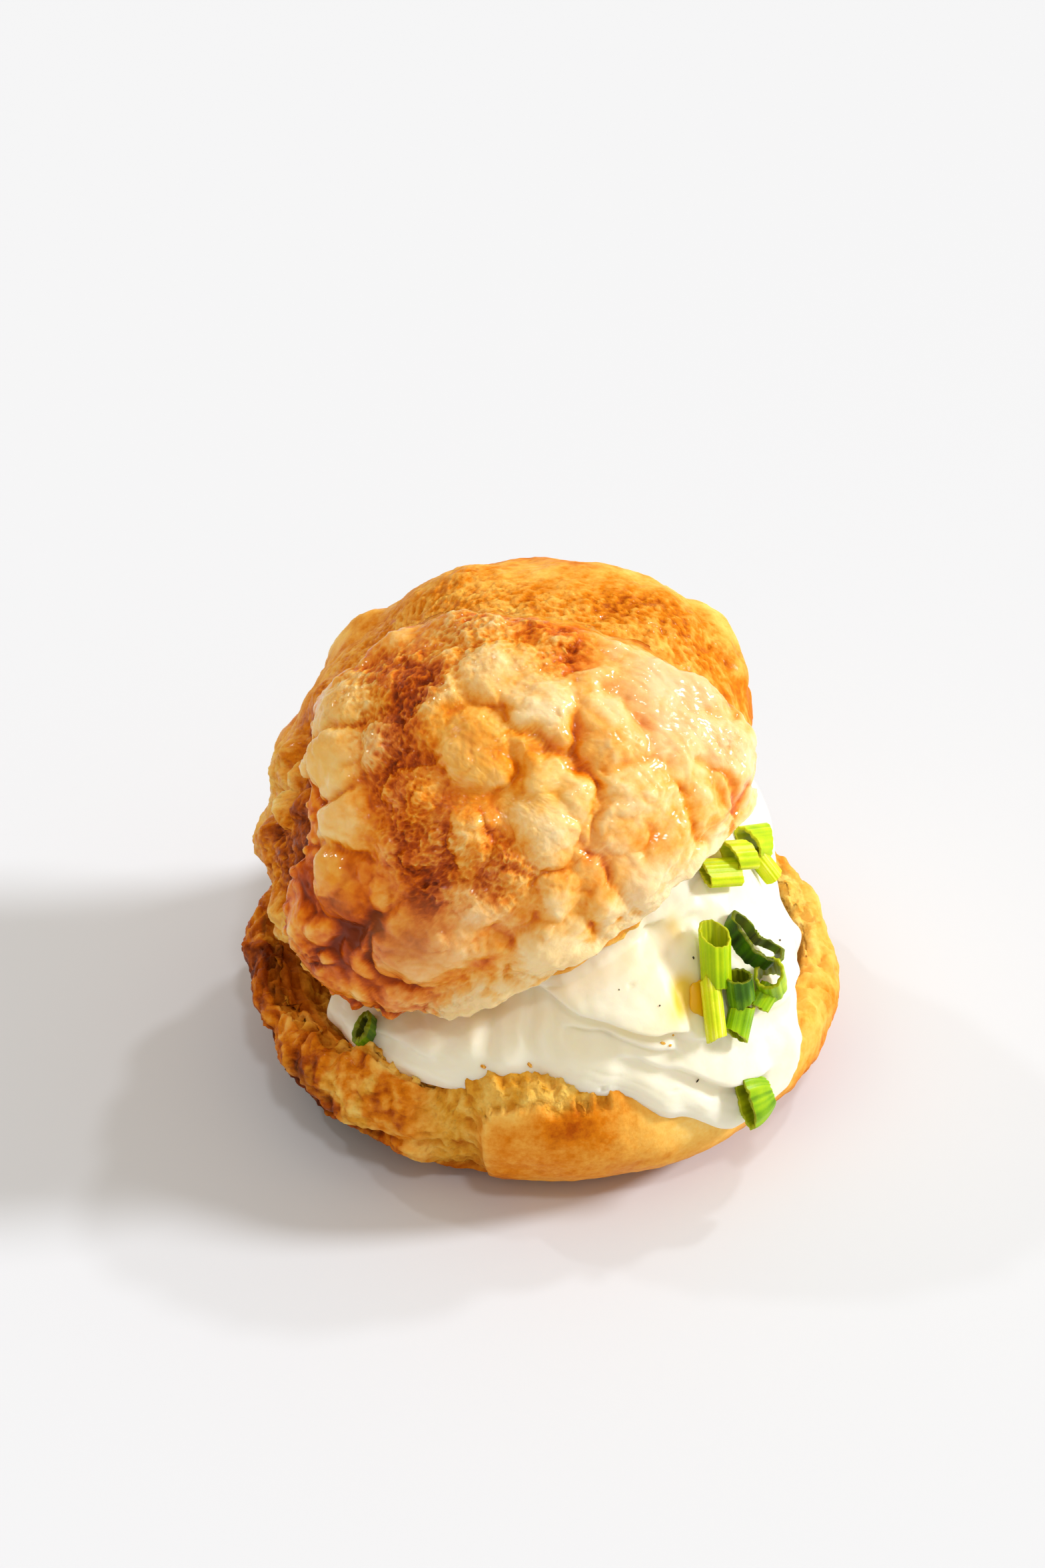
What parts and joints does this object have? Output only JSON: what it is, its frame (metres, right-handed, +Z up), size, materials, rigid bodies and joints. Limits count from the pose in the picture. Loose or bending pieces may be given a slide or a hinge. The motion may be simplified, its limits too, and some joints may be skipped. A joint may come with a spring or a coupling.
{
  "type": "gougere",
  "caption": "Small round cheese choux bun, split across and filled with whipped cheese cream, its upper half tilted and topped with melted cheese.",
  "frame": {"origin": "centre of the flat foot of the lower half, on the surface the bun stands on", "axes": "+Z up, -Y towards the front where the filling spills over the rim, -X the side the upper half leans to"},
  "size_m": [0.0572, 0.0564, 0.0496],
  "materials": {
    "choux_crust": "golden-brown baked choux crust, pale crumb where it is cut or torn",
    "melted_cheese": "melted and browned cheese, slightly glossy and translucent",
    "cream": "smooth whipped cheese cream, soft satin",
    "herbs": "cut fresh chives, moist green",
    "pepper": "ground pepper specks and baked crumbs"
  },
  "bodies": {
    "root": {"choux_base": "choux_crust", "choux_lid": "choux_crust", "melted_cheese": "melted_cheese", "cream_filling": "cream"}
  },
  "joints": []
}
